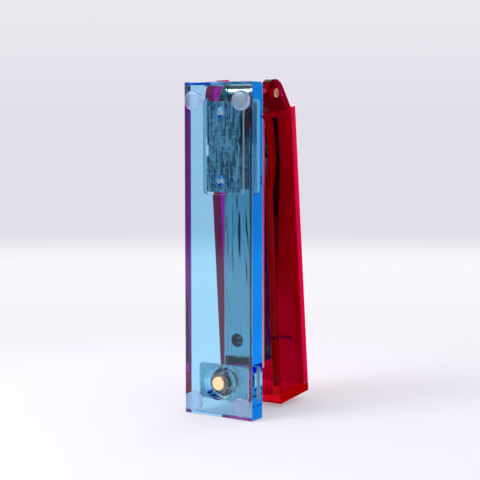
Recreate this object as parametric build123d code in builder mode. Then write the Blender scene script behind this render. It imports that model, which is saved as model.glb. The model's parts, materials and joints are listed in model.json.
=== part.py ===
from build123d import *
import math
import os

import numpy as np

# Desk stapler of clear acrylic: a blue base slab and a red box handle round a steel magazine.
# The front end points to -X, the hinge is near the +X end and the feet stand on Z = 0.
# All sizes are millimetres. Side profiles are drawn from the pivot: forward, then up.

# Base slab
base_length = 150.0
base_width = 36.0
base_thick = 8.8
base_edge = 0.4
base_rear_bevel = 1.3

# Feet
foot_diameter = 8.8
foot_height = 2.2
foot_round = 1.2
foot_inset_front = 6.0
foot_inset_rear = 8.2
foot_inset_side = 5.5

# Hinge
pivot_inset = 4.7
pivot_rise = 16.1
pin_diameter = 4.2
pin_proud = 0.2
pin_chamfer = 0.3
pin_dimple = 1.8
sleeve_diameter = 8.0
spacer_diameter = 8.0
running_fit = 0.05
side_gap = 0.15

# Bracket and the pocket it lies in
pocket_length = 42.6
pocket_width = 21.0
pocket_depth = 2.4
pocket_corner = 2.0
pocket_inset_rear = 7.4
bracket_margin = 1.1
flange_width = 17.4
flange_corner = 1.0
bracket_sheet = 1.0
notch_length = 8.0
notch_depth = 1.2
ear_radius = 4.6
ear_foot_length = 12.0
ear_foot_margin = 7.6
ear_foot_rise = 0.6

# Screws that hold the bracket down
screw_spacing = 30.2
screw_diameter = 4.6
screw_hole_gap = 0.3
screw_head_diameter = 7.0
screw_head_height = 1.5
screw_head_round = 0.6
screw_slot_width = 0.9
screw_slot_depth = 0.7
screw_tip_cover = 3.0
drill_point = 2.2
drill_tip_radius = 1.2

# Turning anvil and its push button
anvil_from_front = 15.1
anvil_pocket_length = 16.2
anvil_pocket_width = 26.0
anvil_pocket_depth = 1.6
anvil_pocket_corner = 2.0
anvil_gap = 0.3
anvil_thick = 1.5
groove_width = 2.2
groove_depth = 0.6
outward_groove_length = 6.4
outward_groove_centre = 8.9
inward_groove_length = 5.2
inward_groove_centre = 3.6
button_diameter = 6.2
button_gap = 0.1
button_proud = 0.3
button_round = 0.4
spigot_diameter = 3.0
counterbore_diameter = 15.2
counterbore_depth = 5.0
clip_diameter = 9.4
clip_thick = 0.6
clip_mouth = 3.2
clip_groove_depth = 0.5
clip_from_tip = 1.2
anvil_wire = 0.6
anvil_spring_turns = 2.0
anvil_spring_top_radius = 6.4
anvil_spring_low_radius = 4.2

# Magazine
magazine_gap = 10.5
magazine_width = 14.2
magazine_height = 8.7
channel_sheet = 0.7
channel_bend = 0.6
magazine_lug_radius = 4.6
floor_rear = 4.6
mouth_length = 5.0
peep_hole_diameter = 6.3
peep_hole_from_pivot = 112.7
nose_thick = 1.2

# Staple rail, staples, pusher and its spring
rail_width = 11.3
rail_sheet = 0.8
rail_rear = 18.0
rail_slot_width = 3.2
rail_slot_inset = 5.0
staple_width = 12.6
staple_height = 6.0
staple_wire = 0.5
staple_lift = 0.15
strip_length = 66.0
pusher_length = 12.0
pusher_width = 12.4
pusher_height = 6.8
pusher_lift = 0.3
tongue_length = 5.0
tongue_foot_width = 6.0
rod_diameter = 1.6
rod_above_floor = 2.5
pusher_wire = 0.5
pusher_spring_radius = 2.0
pusher_spring_turns = 30.0

# Handle
handle_width = 30.4
handle_sheet = 4.2
handle_front = 143.5
handle_low = -6.7
plate_rear = 7.0
wall_top_rear = 12.5
wall_top_front = 15.2
rest_tilt = 4.7
lobe_radius = 8.2
lobe_ahead = 1.85
lobe_drop = 0.75
relief_end = 43.0
relief_depth = 3.9

# Driver
blade_from_pivot = 124.5
blade_sheet = 0.5
blade_width = 12.0
blade_tip = -7.6
blade_head = 2.0
blade_slot_gap = 0.1
driver_slot = 1.7
leaf_width = 11.0
leaf_sheet = 0.9
leaf_tongue_width = 6.0
leaf_tongue_reach = 1.2
leaf_rear = 12.0
leaf_clamp_length = 22.0
leaf_bend = 8.0
leaf_screw_spacing = 10.0
leaf_screw_diameter = 3.0
leaf_screw_depth = 2.6
leaf_head_diameter = 5.4
leaf_head_height = 1.4
cross_pin_diameter = 1.5
cross_pin_from_pivot = 114.2
cross_pin_rise = 4.6
leaf_seat_gap = 0.05

# Return spring on the hinge pin
return_wire = 0.42
return_radius = 3.4
return_part_turn = 0.125
return_pitch = 0.87
return_leg = 14.0
return_end_gap = 0.12

# Places that follow from the sizes above
lean = math.radians(rest_tilt)
lobe_reach = lobe_radius - lobe_ahead * math.cos(lean) - lobe_drop * math.sin(lean)
rear_overhang = max(lobe_reach - pivot_inset, 0)
base_front_x = -(base_length + rear_overhang) / 2
base_mid_x = base_front_x + base_length / 2
base_rear_x = base_front_x + base_length
pivot_x = base_rear_x - pivot_inset
underside_z = foot_height
top_z = underside_z + base_thick
pivot_z = top_z + pivot_rise

pocket_x = base_rear_x - pocket_inset_rear - pocket_length / 2
pocket_floor_z = top_z - pocket_depth
flange_length = pocket_length - 2 * bracket_margin
flange_top_z = pocket_floor_z + bracket_sheet
screw_tip_z = underside_z + screw_tip_cover
screw_places = [(pocket_x - screw_spacing / 2, 0), (pocket_x + screw_spacing / 2, 0)]

anvil_x = base_front_x + anvil_from_front
anvil_floor_z = top_z - anvil_pocket_depth
web_z = underside_z + counterbore_depth
button_tip_z = underside_z - button_proud
clip_z = button_tip_z + clip_from_tip
clip_top_z = clip_z + clip_thick
groove_x = pivot_x - blade_from_pivot
groove_from_centre = groove_x - anvil_x

channel_low = magazine_gap - pivot_rise
channel_floor_z = top_z + magazine_gap + channel_sheet
channel_inner = magazine_width - 2 * channel_sheet
nose_inner = blade_from_pivot + driver_slot / 2
nose_outer = nose_inner + nose_thick
staple_front = blade_from_pivot - driver_slot / 2
ear_inner = magazine_width / 2 + side_gap
ear_outer = ear_inner + bracket_sheet
wall_inner = handle_width / 2 - handle_sheet
spring_bay = wall_inner - ear_outer
coil_room = spring_bay - 2 * return_end_gap - return_wire - return_pitch / 4
return_turns = math.floor(coil_room / return_pitch - return_part_turn) + return_part_turn

rail_front = staple_front
rail_length = rail_front - rail_rear
rail_height = staple_lift + staple_height - staple_wire - side_gap
rail_bore = rail_width - 2 * rail_sheet
rod_z = channel_floor_z + rod_above_floor
pusher_front = staple_front - strip_length - side_gap
tongue_front = pusher_front - (pusher_length - tongue_length) / 2
tongue_width = rail_slot_width - 2 * side_gap
tongue_foot_height = rail_height - rail_sheet - 2 * side_gap

top_slope = (wall_top_front - wall_top_rear) / (handle_front - plate_rear)
leaf_under_pin = cross_pin_rise - cross_pin_diameter / 2 - leaf_seat_gap - leaf_sheet / 2


def ahead(distance):
    """World X of a point that lies this far forward of the pivot."""
    return pivot_x - distance


def wall_top(distance):
    """Height of the handle's bonded top joint at a distance forward of the pivot."""
    return wall_top_rear + top_slope * (distance - plate_rear)


def side_plane(y, tilt=0.0):
    """Plane at the pivot that faces +Y: its x runs forward and its y up, both tipped up by tilt."""
    tip = math.radians(tilt)
    return Plane(origin=(pivot_x, y, pivot_z), x_dir=(-math.cos(tip), 0, math.sin(tip)), z_dir=(0, 1, 0))


def cross_plane(distance):
    """Plane across the magazine that faces the rear, at a distance forward of the pivot."""
    return Plane(origin=(ahead(distance), 0, channel_floor_z), x_dir=(0, 1, 0), z_dir=(1, 0, 0))


def turned(plane, vector):
    """World direction of a vector given along a plane's own axes."""
    return plane.x_dir * vector.X + plane.y_dir * vector.Y + plane.z_dir * vector.Z


def bend(start, start_way, end, end_way):
    """Two arcs that leave start along start_way and run into end along end_way."""
    span = end - start
    ways = start_way + end_way
    spread = 2 * (1 - start_way.dot(end_way))
    along = span.dot(ways)
    reach = (math.sqrt(along * along + spread * span.dot(span)) - along) / spread
    first = start + start_way * reach
    second = end - end_way * reach
    middle = (first + second) / 2
    TangentArc(start, middle, tangent=start_way)
    TangentArc(middle, end, tangent=second - first)


def coil_point(plane, angle, radius, rise):
    """World point of a coil at an angle in degrees, a radius and a rise along the plane's normal."""
    turn = math.radians(angle)
    return plane.from_local_coords(Vector(radius * math.cos(turn), radius * math.sin(turn), rise))


def coil_way(plane, angle, way, radius, pitch, widening):
    """Unit tangent of a coil: way is 1 or -1, pitch and widening are per turn."""
    turn = math.radians(angle)
    out = widening / math.tau
    local = Vector(
        out * math.cos(turn) - way * radius * math.sin(turn),
        out * math.sin(turn) + way * radius * math.cos(turn),
        pitch / math.tau,
    )
    return turned(plane, local).normalized()


def wind(plane, first_angle, turns, way, radii, rises, steps_per_turn):
    """Wind a coil of bends and give its first point and way, then its last point and way."""
    steps = max(round(abs(turns) * steps_per_turn), 1)
    pitch = (rises[1] - rises[0]) / turns
    widening = (radii[1] - radii[0]) / turns
    places = []
    for step in range(steps + 1):
        share = step / steps
        angle = first_angle + way * 360 * turns * share
        radius = radii[0] + (radii[1] - radii[0]) * share
        rise = rises[0] + (rises[1] - rises[0]) * share
        point = coil_point(plane, angle, radius, rise)
        places.append((point, coil_way(plane, angle, way, radius, pitch, widening)))
    for (start, start_way), (end, end_way) in zip(places, places[1:]):
        bend(start, start_way, end, end_way)
    return places[0] + places[-1]


def report_gap(name, path, wire, turn_length):
    """Print a coil's least gap to itself, from points along its path at least half a turn apart."""
    edges = path.edges()
    shares = [0, 0.2, 0.4, 0.6, 0.8]
    points = np.array([tuple(edge @ share) for edge in edges for share in shares])
    steps = np.linalg.norm(np.diff(points, axis=0), axis=1)
    run = np.concatenate(([0], np.cumsum(steps)))
    apart = np.linalg.norm(points[:, None] - points[None], axis=2)
    far = np.abs(run[:, None] - run[None]) > turn_length / 2
    print(f"{name} least gap {apart[far].min() - wire:.2f} mm")


def save(name, piece):
    """Label a finished piece and write it to its own file."""
    piece.part.label = name
    export_step(piece.part, f"parts/{name}.step")


os.makedirs("parts", exist_ok=True)

# Base slab: a polished block with a bracket pocket, an anvil pocket and a button counterbore
with BuildPart() as base_slab:
    with BuildSketch(Plane.XY.offset(underside_z)):
        with Locations((base_mid_x, 0)):
            Rectangle(base_length, base_width)
    extrude(amount=base_thick)
    chamfer(base_slab.edges().group_by(Axis.X)[-1].sort_by(Axis.Z)[-1], length=base_rear_bevel)
    fillet(base_slab.edges(), radius=base_edge)
    with BuildSketch(Plane.XY.offset(top_z)):
        with Locations((pocket_x, 0)):
            RectangleRounded(pocket_length, pocket_width, pocket_corner)
    extrude(amount=-pocket_depth, mode=Mode.SUBTRACT)
    with BuildSketch(Plane.XY.offset(top_z)):
        with Locations((anvil_x, 0)):
            RectangleRounded(anvil_pocket_length, anvil_pocket_width, anvil_pocket_corner)
    extrude(amount=-anvil_pocket_depth, mode=Mode.SUBTRACT)
    with BuildSketch(Plane.XY.offset(underside_z)):
        with Locations((anvil_x, 0)):
            Circle(counterbore_diameter / 2)
    extrude(amount=counterbore_depth, mode=Mode.SUBTRACT)
    with BuildSketch(Plane.XY.offset(underside_z)):
        with Locations((anvil_x, 0)):
            Circle(button_diameter / 2 + button_gap)
    extrude(amount=base_thick, mode=Mode.SUBTRACT)
    hole_radius = screw_diameter / 2 + screw_hole_gap
    with BuildSketch(Plane.XY.offset(screw_tip_z)):
        with Locations(*screw_places):
            Circle(hole_radius)
    extrude(amount=pocket_floor_z - screw_tip_z, mode=Mode.SUBTRACT)
    for place in screw_places:
        with Locations((place[0], place[1], screw_tip_z)):
            Cone(
                bottom_radius=drill_tip_radius,
                top_radius=hole_radius,
                height=drill_point,
                align=(Align.CENTER, Align.CENTER, Align.MAX),
                mode=Mode.SUBTRACT,
            )
save("base_slab", base_slab)

# Four soft bumper feet
foot_front_x = base_front_x + foot_inset_front
foot_rear_x = base_rear_x - foot_inset_rear
foot_y = base_width / 2 - foot_inset_side
with BuildPart() as rubber_feet:
    with BuildSketch():
        with Locations(*[(x, y) for x in (foot_front_x, foot_rear_x) for y in (-foot_y, foot_y)]):
            Circle(foot_diameter / 2)
    extrude(amount=foot_height)
    fillet(rubber_feet.edges().group_by(Axis.Z)[0], radius=foot_round)
save("rubber_feet", rubber_feet)

# Bracket: a flange in the pocket with two upright ears that carry the hinge pin
flange_rear = pocket_inset_rear + bracket_margin - pivot_inset
ear_foot_centre = flange_rear + ear_foot_margin + ear_foot_length / 2
ear_foot_height = pocket_depth + ear_foot_rise
with BuildPart() as hinge_bracket:
    with BuildSketch(Plane.XY.offset(pocket_floor_z)):
        with Locations((pocket_x, 0)):
            RectangleRounded(flange_length, flange_width, flange_corner)
        with Locations((pocket_x, flange_width / 2), (pocket_x, -flange_width / 2)):
            Rectangle(notch_length, 2 * notch_depth, mode=Mode.SUBTRACT)
        with Locations(*screw_places):
            Circle(screw_diameter / 2 + running_fit, mode=Mode.SUBTRACT)
    extrude(amount=bracket_sheet)
    for ear_y in (ear_inner, -ear_outer):
        with BuildSketch(side_plane(ear_y)):
            Circle(ear_radius)
            with Locations((ear_foot_centre, ear_foot_height / 2 - pivot_rise - pocket_depth)):
                Rectangle(ear_foot_length, ear_foot_height)
            make_hull()
            Circle(pin_diameter / 2 + running_fit, mode=Mode.SUBTRACT)
        extrude(amount=bracket_sheet)
save("hinge_bracket", hinge_bracket)

# Slotted screws through the bracket into blind holes
with BuildPart() as bracket_screws:
    with BuildSketch(Plane.XY.offset(screw_tip_z)):
        with Locations(*screw_places):
            Circle(screw_diameter / 2)
    extrude(amount=flange_top_z - screw_tip_z)
    with BuildSketch(Plane.XY.offset(flange_top_z)):
        with Locations(*screw_places):
            Circle(screw_head_diameter / 2)
    extrude(amount=screw_head_height)
    fillet(bracket_screws.edges().group_by(Axis.Z)[-1], radius=screw_head_round)
    with BuildSketch(Plane.XY.offset(flange_top_z + screw_head_height)):
        with Locations(*screw_places):
            Rectangle(screw_slot_width, screw_head_diameter)
    extrude(amount=-screw_slot_depth, mode=Mode.SUBTRACT)
save("bracket_screws", bracket_screws)

# Hinge pin with a drilled dimple in each end
pin_half = handle_width / 2 + pin_proud
with BuildPart() as hinge_pin:
    with BuildSketch(side_plane(-pin_half)):
        Circle(pin_diameter / 2)
    extrude(amount=2 * pin_half)
    chamfer(hinge_pin.edges().filter_by(GeomType.CIRCLE), length=pin_chamfer)
    for dimple_y in (-pin_half, pin_half - pin_chamfer):
        with BuildSketch(side_plane(dimple_y)):
            Circle(pin_dimple / 2)
        extrude(amount=pin_chamfer, mode=Mode.SUBTRACT)
save("hinge_pin", hinge_pin)

# Chrome sleeve on the pin inside the magazine
sleeve_half = channel_inner / 2 - side_gap
with BuildPart() as hinge_sleeve:
    with BuildSketch(side_plane(-sleeve_half)):
        Circle(sleeve_diameter / 2)
        Circle(pin_diameter / 2 + running_fit, mode=Mode.SUBTRACT)
    extrude(amount=2 * sleeve_half)
save("hinge_sleeve", hinge_sleeve)

# Spacer on the pin that fills the right side, across from the return spring
with BuildPart() as hinge_spacer:
    with BuildSketch(side_plane(ear_outer)):
        Circle(spacer_diameter / 2)
        Circle(pin_diameter / 2 + running_fit, mode=Mode.SUBTRACT)
    extrude(amount=spring_bay - side_gap)
save("hinge_spacer", hinge_spacer)

# Return spring: as many turns round the pin as the bay beside the ear holds, with one leg
# down to the slab and one forward to the left wall
spring_plane = side_plane(-wall_inner)
leg_up = spring_plane.y_dir
leg_ahead = spring_plane.x_dir
leg_out = -spring_plane.z_dir
leg_rise = return_end_gap + return_wire / 2
eighth = return_pitch / 8
coil_rises = (leg_rise + eighth, leg_rise + eighth + return_pitch * return_turns)
entry_angle = 135
with BuildPart() as return_spring:
    with BuildLine() as return_path:
        foot = spring_plane.from_local_coords(Vector(-return_radius, -pivot_rise, leg_rise))
        knee = spring_plane.from_local_coords(Vector(-return_radius, -return_radius / 4, leg_rise))
        Line(foot, knee)
        entry = coil_point(spring_plane, entry_angle, return_radius, coil_rises[0])
        entry_way = coil_way(spring_plane, entry_angle, -1, return_radius, return_pitch, 0)
        bend(knee, leg_up, entry, entry_way)
        radii = (return_radius, return_radius)
        ends = wind(spring_plane, entry_angle, return_turns, -1, radii, coil_rises, 8)
        shin_rise = coil_rises[1] + eighth
        shin = spring_plane.from_local_coords(Vector(return_radius, return_radius, shin_rise))
        bend(ends[2], ends[3], shin, leg_ahead)
        toe = shin + leg_ahead * (return_leg - return_radius)
        Line(shin, toe)
        tip_ahead = return_leg + 2 * return_wire
        tip = spring_plane.from_local_coords(Vector(tip_ahead, return_radius, return_end_gap))
        heel = tip - leg_out * return_wire
        bend(toe, leg_ahead, heel, leg_out)
        Line(heel, tip)
    with BuildSketch(Plane(origin=foot, z_dir=leg_up)):
        Circle(return_wire / 2)
    sweep(path=return_path.wire())
report_gap("return_spring", return_path, return_wire, math.tau * return_radius)
save("return_spring", return_spring)

# Anvil plate with outward grooves under the driver and inward grooves at its other side
with BuildPart() as anvil_plate:
    with BuildSketch(Plane.XY.offset(anvil_floor_z)):
        with Locations((anvil_x, 0)):
            RectangleRounded(
                anvil_pocket_length - 2 * anvil_gap,
                anvil_pocket_width - 2 * anvil_gap,
                anvil_pocket_corner - anvil_gap,
            )
            Circle(spigot_diameter / 2, mode=Mode.SUBTRACT)
    extrude(amount=anvil_thick)
    with BuildSketch(Plane.XY.offset(anvil_floor_z + anvil_thick)):
        with Locations((groove_x, outward_groove_centre), (groove_x, -outward_groove_centre)):
            SlotOverall(outward_groove_length, groove_width, rotation=90)
        inward_x = anvil_x - groove_from_centre
        with Locations((inward_x, inward_groove_centre), (inward_x, -inward_groove_centre)):
            SlotOverall(inward_groove_length, groove_width, rotation=90)
    extrude(amount=-groove_depth, mode=Mode.SUBTRACT)
save("anvil_plate", anvil_plate)

# Push button riveted to the anvil, with a groove for its clip
with BuildPart() as anvil_button:
    with BuildSketch(Plane.XY.offset(button_tip_z)):
        with Locations((anvil_x, 0)):
            Circle(button_diameter / 2)
    extrude(amount=anvil_floor_z - button_tip_z)
    fillet(anvil_button.edges().group_by(Axis.Z)[0], radius=button_round)
    with BuildSketch(Plane.XY.offset(anvil_floor_z)):
        with Locations((anvil_x, 0)):
            Circle(spigot_diameter / 2)
    extrude(amount=anvil_thick)
    with BuildSketch(Plane.XY.offset(clip_z)):
        with Locations((anvil_x, 0)):
            Circle(button_diameter / 2)
            Circle(button_diameter / 2 - clip_groove_depth, mode=Mode.SUBTRACT)
    extrude(amount=clip_thick, mode=Mode.SUBTRACT)
save("anvil_button", anvil_button)

# Open clip in the button's groove, the seat of the anvil spring
with BuildPart() as anvil_clip:
    with BuildSketch(Plane.XY.offset(clip_z)):
        with Locations((anvil_x, 0)):
            Circle(clip_diameter / 2)
            Circle(button_diameter / 2 - clip_groove_depth, mode=Mode.SUBTRACT)
        with Locations((anvil_x - clip_diameter / 2, 0)):
            Rectangle(clip_diameter, clip_mouth, mode=Mode.SUBTRACT)
    extrude(amount=clip_thick)
save("anvil_clip", anvil_clip)

# Cone spring between the web of the slab and the clip
anvil_spring_plane = Plane(origin=(anvil_x, 0, web_z), x_dir=(1, 0, 0), z_dir=(0, 0, -1))
anvil_spring_height = web_z - clip_top_z
coil_first = 2 * anvil_wire
coil_last = anvil_spring_height - 2 * anvil_wire
with BuildPart() as anvil_spring:
    with BuildLine() as anvil_path:
        down = anvil_spring_plane.z_dir
        radii = (anvil_spring_top_radius, anvil_spring_low_radius)
        top_angle = math.degrees(anvil_wire * 2 / anvil_spring_top_radius)
        low_angle = math.degrees(anvil_wire * 2 / anvil_spring_low_radius)
        top_end = coil_point(anvil_spring_plane, -top_angle, radii[0], 0)
        top_knee = top_end + down * anvil_wire
        Line(top_end, top_knee)
        rise = (coil_last - coil_first) / anvil_spring_turns
        widening = (radii[1] - radii[0]) / anvil_spring_turns
        entry = coil_point(anvil_spring_plane, 0, radii[0], coil_first)
        bend(top_knee, down, entry, coil_way(anvil_spring_plane, 0, 1, radii[0], rise, widening))
        ends = wind(anvil_spring_plane, 0, anvil_spring_turns, 1, radii, (coil_first, coil_last), 4)
        last_angle = 360 * anvil_spring_turns + low_angle
        low_end = coil_point(anvil_spring_plane, last_angle, radii[1], anvil_spring_height)
        low_knee = low_end - down * anvil_wire
        bend(ends[2], ends[3], low_knee, down)
        Line(low_knee, low_end)
    with BuildSketch(Plane(origin=top_end, z_dir=down)):
        Circle(anvil_wire / 2)
    sweep(path=anvil_path.wire())
report_gap("anvil_spring", anvil_path, anvil_wire, math.tau * anvil_spring_low_radius)
save("anvil_spring", anvil_spring)

# Magazine channel: two sides with pivot lugs and a floor with a peep hole, open at the mouth
floor_front = nose_inner - mouth_length
with BuildPart() as magazine_channel:
    for wall_y in (-magazine_width / 2, magazine_width / 2 - channel_sheet):
        with BuildSketch(side_plane(wall_y)):
            with Locations((0, channel_low)):
                Rectangle(nose_outer, magazine_height, align=(Align.MIN, Align.MIN))
            Circle(magazine_lug_radius)
            Circle(pin_diameter / 2 + running_fit, mode=Mode.SUBTRACT)
            with Locations((0, channel_low)):
                Rectangle(
                    floor_rear,
                    -channel_low - magazine_lug_radius,
                    align=(Align.MIN, Align.MIN),
                    mode=Mode.SUBTRACT,
                )
        extrude(amount=channel_sheet)
    with BuildSketch(Plane.XY.offset(top_z + magazine_gap)):
        with Locations((ahead(floor_rear), 0)):
            Rectangle(floor_front - floor_rear, magazine_width, align=(Align.MAX, Align.CENTER))
        with Locations((ahead(peep_hole_from_pivot), 0)):
            Circle(peep_hole_diameter / 2, mode=Mode.SUBTRACT)
    extrude(amount=channel_sheet)
    corners = magazine_channel.edges().filter_by(Axis.X).group_by(Axis.Z)[0]
    fillet(corners.group_by(Axis.Y)[0] + corners.group_by(Axis.Y)[-1], radius=channel_bend)
save("magazine_channel", magazine_channel)

# Nose plate that closes the front of the driver slot
with BuildPart() as nose_plate:
    with BuildSketch(side_plane(-channel_inner / 2)):
        with Locations((nose_inner, channel_low)):
            Rectangle(nose_thick, magazine_height, align=(Align.MIN, Align.MIN))
    extrude(amount=channel_inner)
save("nose_plate", nose_plate)

# Staple rail: an inverted channel with an end tab at each end and a slot along its top
with BuildPart() as staple_rail:
    with BuildSketch(cross_plane(rail_front)):
        Rectangle(rail_width, rail_height, align=(Align.CENTER, Align.MIN))
        Rectangle(rail_bore, rail_height - rail_sheet, align=(Align.CENTER, Align.MIN), mode=Mode.SUBTRACT)
    extrude(amount=rail_length)
    for tab in (rail_front, rail_rear + rail_sheet):
        with BuildSketch(cross_plane(tab)):
            Rectangle(rail_bore, rail_height - rail_sheet, align=(Align.CENTER, Align.MIN))
            with Locations((0, rod_above_floor)):
                Circle(rod_diameter / 2 + running_fit, mode=Mode.SUBTRACT)
        extrude(amount=rail_sheet)
    with BuildSketch(Plane.XY.offset(channel_floor_z + rail_height)):
        with Locations((ahead((rail_front + rail_rear) / 2), 0)):
            SlotOverall(rail_length - 2 * rail_slot_inset, rail_slot_width)
    extrude(amount=-rail_sheet, mode=Mode.SUBTRACT)
save("staple_rail", staple_rail)

# Strip of glued staples astride the rail
with BuildPart() as staple_strip:
    with BuildSketch(cross_plane(staple_front)):
        with Locations((0, staple_lift)):
            Rectangle(staple_width, staple_height, align=(Align.CENTER, Align.MIN))
            Rectangle(
                staple_width - 2 * staple_wire,
                staple_height - staple_wire,
                align=(Align.CENTER, Align.MIN),
                mode=Mode.SUBTRACT,
            )
    extrude(amount=strip_length)
save("staple_strip", staple_strip)

# Guide rod inside the rail
with BuildPart() as pusher_rod:
    with BuildSketch(cross_plane(rail_front)):
        with Locations((0, rod_above_floor)):
            Circle(rod_diameter / 2)
    extrude(amount=rail_length)
save("pusher_rod", pusher_rod)

# Pusher: a saddle astride the rail with a tongue through its slot down to the rod
with BuildPart() as pusher:
    with BuildSketch(cross_plane(pusher_front)):
        with Locations((0, pusher_lift)):
            Rectangle(pusher_width, pusher_height, align=(Align.CENTER, Align.MIN))
        Rectangle(
            rail_width + 2 * side_gap,
            rail_height + side_gap,
            align=(Align.CENTER, Align.MIN),
            mode=Mode.SUBTRACT,
        )
    extrude(amount=pusher_length)
    with BuildSketch(cross_plane(tongue_front)):
        with Locations((0, side_gap)):
            Rectangle(tongue_width, rail_height, align=(Align.CENTER, Align.MIN))
            Rectangle(tongue_foot_width, tongue_foot_height, align=(Align.CENTER, Align.MIN))
        with Locations((0, rod_above_floor)):
            Circle(rod_diameter / 2 + running_fit, mode=Mode.SUBTRACT)
    extrude(amount=tongue_length)
save("pusher", pusher)

# Pusher spring round the rod, from the front tab back to the tongue
pusher_spring_length = rail_front - rail_sheet - tongue_front
pusher_spring_plane = Plane(
    origin=(ahead(rail_front - rail_sheet), 0, rod_z), x_dir=(0, 1, 0), z_dir=(1, 0, 0)
)
with BuildPart() as pusher_spring:
    with BuildLine() as pusher_path:
        back = pusher_spring_plane.z_dir
        end_angle = math.degrees(2 * pusher_wire / pusher_spring_radius)
        radii = (pusher_spring_radius, pusher_spring_radius)
        rises = (2.5 * pusher_wire, pusher_spring_length - 2.5 * pusher_wire)
        pitch = (rises[1] - rises[0]) / pusher_spring_turns
        front_end = coil_point(pusher_spring_plane, -end_angle, pusher_spring_radius, 0)
        front_knee = front_end + back * pusher_wire
        Line(front_end, front_knee)
        entry = coil_point(pusher_spring_plane, 0, pusher_spring_radius, rises[0])
        bend(front_knee, back, entry, coil_way(pusher_spring_plane, 0, 1, pusher_spring_radius, pitch, 0))
        ends = wind(pusher_spring_plane, 0, pusher_spring_turns, 1, radii, rises, 2)
        last_angle = 360 * pusher_spring_turns + end_angle
        rear_end = coil_point(pusher_spring_plane, last_angle, pusher_spring_radius, pusher_spring_length)
        rear_knee = rear_end - back * pusher_wire
        bend(ends[2], ends[3], rear_knee, back)
        Line(rear_knee, rear_end)
    with BuildSketch(Plane(origin=front_end, z_dir=back)):
        Circle(pusher_wire / 2)
    sweep(path=pusher_path.wire())
report_gap("pusher_spring", pusher_path, pusher_wire, math.tau * pusher_spring_radius)
save("pusher_spring", pusher_spring)


def handle_wall(y):
    """Side wall of the handle: a straight lower edge with a hollow relief and a round ear at the pivot."""
    centre = Vector(lobe_ahead, -lobe_drop)
    shoulder = Vector(plate_rear, wall_top_rear)
    slant = shoulder - centre
    touch = math.degrees(math.atan2(slant.Y, slant.X) + math.acos(lobe_radius / slant.length))
    relief_angle = math.degrees(math.asin((handle_low + lobe_drop) / lobe_radius))
    relief_start = lobe_ahead + lobe_radius * math.cos(math.radians(relief_angle))
    with BuildPart() as wall:
        with BuildSketch(side_plane(y, rest_tilt)):
            with BuildLine():
                ear = CenterArc(centre, lobe_radius, touch, 360 + relief_angle - touch)
                ThreePointArc(
                    ear @ 1,
                    ((relief_start + relief_end) / 2, handle_low + relief_depth),
                    (relief_end, handle_low),
                )
                Polyline(
                    (relief_end, handle_low),
                    (handle_front, handle_low),
                    (handle_front, wall_top_front),
                    (plate_rear, wall_top_rear),
                    ear @ 0,
                )
            make_face()
            Circle(pin_diameter / 2 + running_fit, mode=Mode.SUBTRACT)
            with Locations((cross_pin_from_pivot, cross_pin_rise)):
                Circle(cross_pin_diameter / 2, mode=Mode.SUBTRACT)
        extrude(amount=handle_sheet)
    return wall


handle_left_wall = handle_wall(-handle_width / 2)
save("handle_left_wall", handle_left_wall)
handle_right_wall = handle_wall(wall_inner)
save("handle_right_wall", handle_right_wall)

# Top plate bonded along both walls, with blind holes for the leaf's screws
clamp_middle = leaf_rear + leaf_clamp_length / 2
leaf_screw_places = [clamp_middle - leaf_screw_spacing / 2, clamp_middle + leaf_screw_spacing / 2]
slope_degrees = math.degrees(math.atan(top_slope))


def under_plate(distance):
    """Plane on the top plate's lower face that looks up into it, at a distance forward of the pivot."""
    tip = math.radians(rest_tilt + slope_degrees)
    middle = side_plane(0, rest_tilt).from_local_coords(Vector(distance, wall_top(distance), 0))
    return Plane(origin=middle, x_dir=(0, 1, 0), z_dir=(math.sin(tip), 0, math.cos(tip)))


with BuildPart() as handle_top_plate:
    with BuildSketch(side_plane(-handle_width / 2, rest_tilt)):
        with BuildLine():
            Polyline(
                (plate_rear, wall_top_rear),
                (handle_front, wall_top_front),
                (handle_front, wall_top_front + handle_sheet),
                (plate_rear, wall_top_rear + handle_sheet),
                close=True,
            )
        make_face()
    extrude(amount=handle_width)
    for place in leaf_screw_places:
        with BuildSketch(under_plate(place)):
            Circle(leaf_screw_diameter / 2)
        extrude(amount=leaf_screw_depth, mode=Mode.SUBTRACT)
save("handle_top_plate", handle_top_plate)

# Front wall bonded between the side walls
front_inner = handle_front - handle_sheet
with BuildPart() as handle_front_wall:
    with BuildSketch(side_plane(-wall_inner, rest_tilt)):
        with BuildLine():
            Polyline(
                (front_inner, handle_low),
                (handle_front, handle_low),
                (handle_front, wall_top_front),
                (front_inner, wall_top(front_inner)),
                close=True,
            )
        make_face()
    extrude(amount=2 * wall_inner)
save("handle_front_wall", handle_front_wall)

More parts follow.
